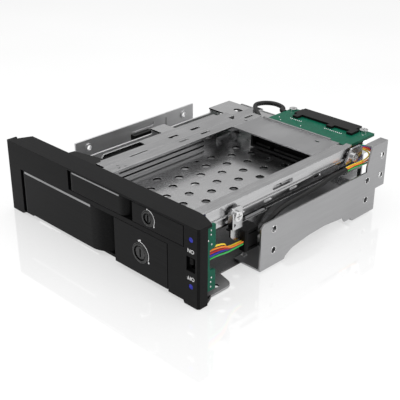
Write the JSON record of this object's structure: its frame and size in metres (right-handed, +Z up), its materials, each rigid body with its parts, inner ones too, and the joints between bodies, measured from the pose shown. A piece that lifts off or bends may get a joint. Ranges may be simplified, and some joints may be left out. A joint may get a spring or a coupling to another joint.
{
  "type": "hot swap drive cage",
  "caption": "Front-bay drive cage with a slim upper bay and a deep lower bay, each behind a locking hinged flap that pushes its drive out through an ejector bar.",
  "frame": {"origin": "centre of the overall box in plan, at the underside of the bottom tray", "axes": "+X to the right seen from the front, +Y from the bezel towards the rear sockets, +Z up"},
  "size_m": [0.1484, 0.1704, 0.042],
  "materials": {
    "black_plastic": "fine brushed black moulding",
    "dark_plastic": "plain black moulding",
    "sheet_steel": "plated sheet steel, semi-bright",
    "bright_steel": "bright plated steel",
    "trim": "satin aluminium strip",
    "circuit_board": "green solder mask",
    "lamp": "tinted blue lens",
    "wire_yellow": "yellow wire cover",
    "wire_orange": "orange wire cover",
    "wire_red": "red wire cover",
    "wire_blue": "blue wire cover",
    "wire_green": "green wire cover",
    "cable_black": "black cable cover"
  },
  "bodies": {
    "chassis": {"base_tray": "sheet_steel", "bay_rail_left": "sheet_steel", "bay_rail_right": "sheet_steel", "bezel": "black_plastic", "clip_screws": "bright_steel", "deck": "sheet_steel", "ejector_channel": "sheet_steel", "flange_rivets": "bright_steel", "harness_clip": "dark_plastic", "harness_sleeve": "cable_black", "led_board": "circuit_board", "left_side_plate": "sheet_steel", "lower_board": "circuit_board", "lower_board_screws": "bright_steel", "lower_connector": "dark_plastic", "lower_ejector_guide": "dark_plastic", "lower_guide_left": "sheet_steel", "lower_guide_right": "sheet_steel", "lower_hinge_pin": "bright_steel", "lower_host_sockets": "dark_plastic", "lower_lamp": "lamp", "rear_bracket": "sheet_steel", "rear_cable": "cable_black", "rear_cover": "sheet_steel", "right_side_plate": "sheet_steel", "side_bracket": "sheet_steel", "switch_body": "dark_plastic", "upper_board": "circuit_board", "upper_board_screws": "bright_steel", "upper_connector": "dark_plastic", "upper_ejector_guide": "dark_plastic", "upper_hinge_pin": "bright_steel", "upper_host_sockets": "dark_plastic", "upper_lamp": "lamp", "upper_standoffs": "bright_steel", "wire_blue": "wire_blue", "wire_green": "wire_green", "wire_header": "dark_plastic", "wire_orange": "wire_orange", "wire_red": "wire_red", "wire_yellow": "wire_yellow"},
    "lower_flap": {"lower_flap": "black_plastic", "lower_trim": "trim", "lower_crank_pin": "bright_steel"},
    "upper_flap": {"upper_flap": "black_plastic", "upper_trim": "trim", "upper_crank_pin": "bright_steel"},
    "lower_lock": {"lower_lock": "dark_plastic"},
    "upper_lock": {"upper_lock": "dark_plastic"},
    "lower_ejector": {"lower_ejector": "sheet_steel"},
    "upper_ejector": {"upper_ejector": "sheet_steel"},
    "switch_knob": {"switch_knob": "dark_plastic"}
  },
  "joints": [
    {"name": "lower_flap_hinge", "type": "hinge", "parent": "chassis", "child": "lower_flap", "pos_m": [-0.06, -0.08165, 0.0148], "axis": [0, 0, -1], "range_deg": [0, 90]},
    {"name": "upper_flap_hinge", "type": "hinge", "parent": "chassis", "child": "upper_flap", "pos_m": [-0.0168, -0.08165, 0.0355], "axis": [0, 0, -1], "range_deg": [0, 90]},
    {"name": "lower_ejector_slide", "type": "slide", "parent": "chassis", "child": "lower_ejector", "axis": [0, -1, 0], "range_m": [0, 0.012]},
    {"name": "upper_ejector_slide", "type": "slide", "parent": "chassis", "child": "upper_ejector", "axis": [0, -1, 0], "range_m": [0, 0.012]},
    {"name": "lower_lock_turn", "type": "hinge", "parent": "lower_flap", "child": "lower_lock", "pos_m": [0.0343, -0.07985, 0.0144], "axis": [0, 1, 0], "range_deg": [0, 90]},
    {"name": "upper_lock_turn", "type": "hinge", "parent": "upper_flap", "child": "upper_lock", "pos_m": [0.0405, -0.07985, 0.0355], "axis": [0, -1, 0], "range_deg": [0, 90]},
    {"name": "switch_slide", "type": "slide", "parent": "chassis", "child": "switch_knob", "axis": [0, 0, -1], "range_m": [0, 0.003]}
  ],
  "couplings": [
    {"joint": "lower_ejector_slide", "follows": "lower_flap_hinge", "m_per_rad": 0.0076394},
    {"joint": "upper_ejector_slide", "follows": "upper_flap_hinge", "m_per_rad": 0.0076394}
  ]
}
